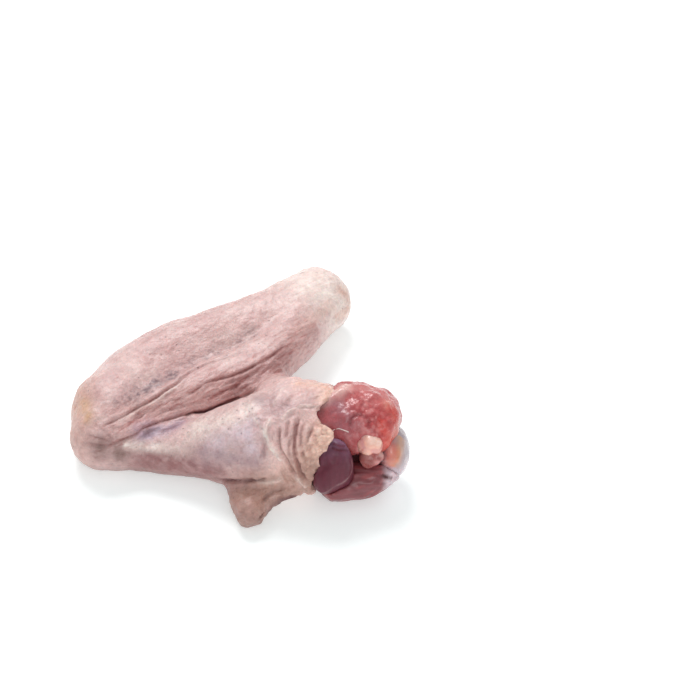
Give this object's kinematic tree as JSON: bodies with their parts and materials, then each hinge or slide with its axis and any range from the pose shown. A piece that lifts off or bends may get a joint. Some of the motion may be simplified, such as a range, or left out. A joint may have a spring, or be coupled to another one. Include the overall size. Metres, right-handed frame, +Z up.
{
  "type": "duck wing",
  "caption": "Raw duck wing of two joints, folded at the elbow, with muscles, fat and the end of the upper arm bone standing out of the skin at the cut shoulder.",
  "frame": {"origin": "centre of the bounding box's underside, on the surface that the wing lies on", "axes": "+Z up; +X from the elbow to the cut shoulder; +Y away from the viewer, from the upper arm to the wrist"},
  "size_m": [0.1204, 0.121, 0.0365],
  "materials": {
    "skin": "damp, satin",
    "red_meat": "wet, glossy",
    "dark_meat": "wet, glossy",
    "brown_meat": "wet, glossy",
    "cartilage": "smooth, glossy",
    "fat": "damp, satin",
    "pink_fat": "damp, satin"
  },
  "bodies": {
    "root": {"skin": "skin", "upper_muscle": "red_meat", "dark_muscle": "dark_meat", "lower_muscle": "brown_meat", "back_muscle": "dark_meat", "humerus": "cartilage", "cream_fat": "fat", "pink_fat": "pink_fat"}
  },
  "joints": []
}
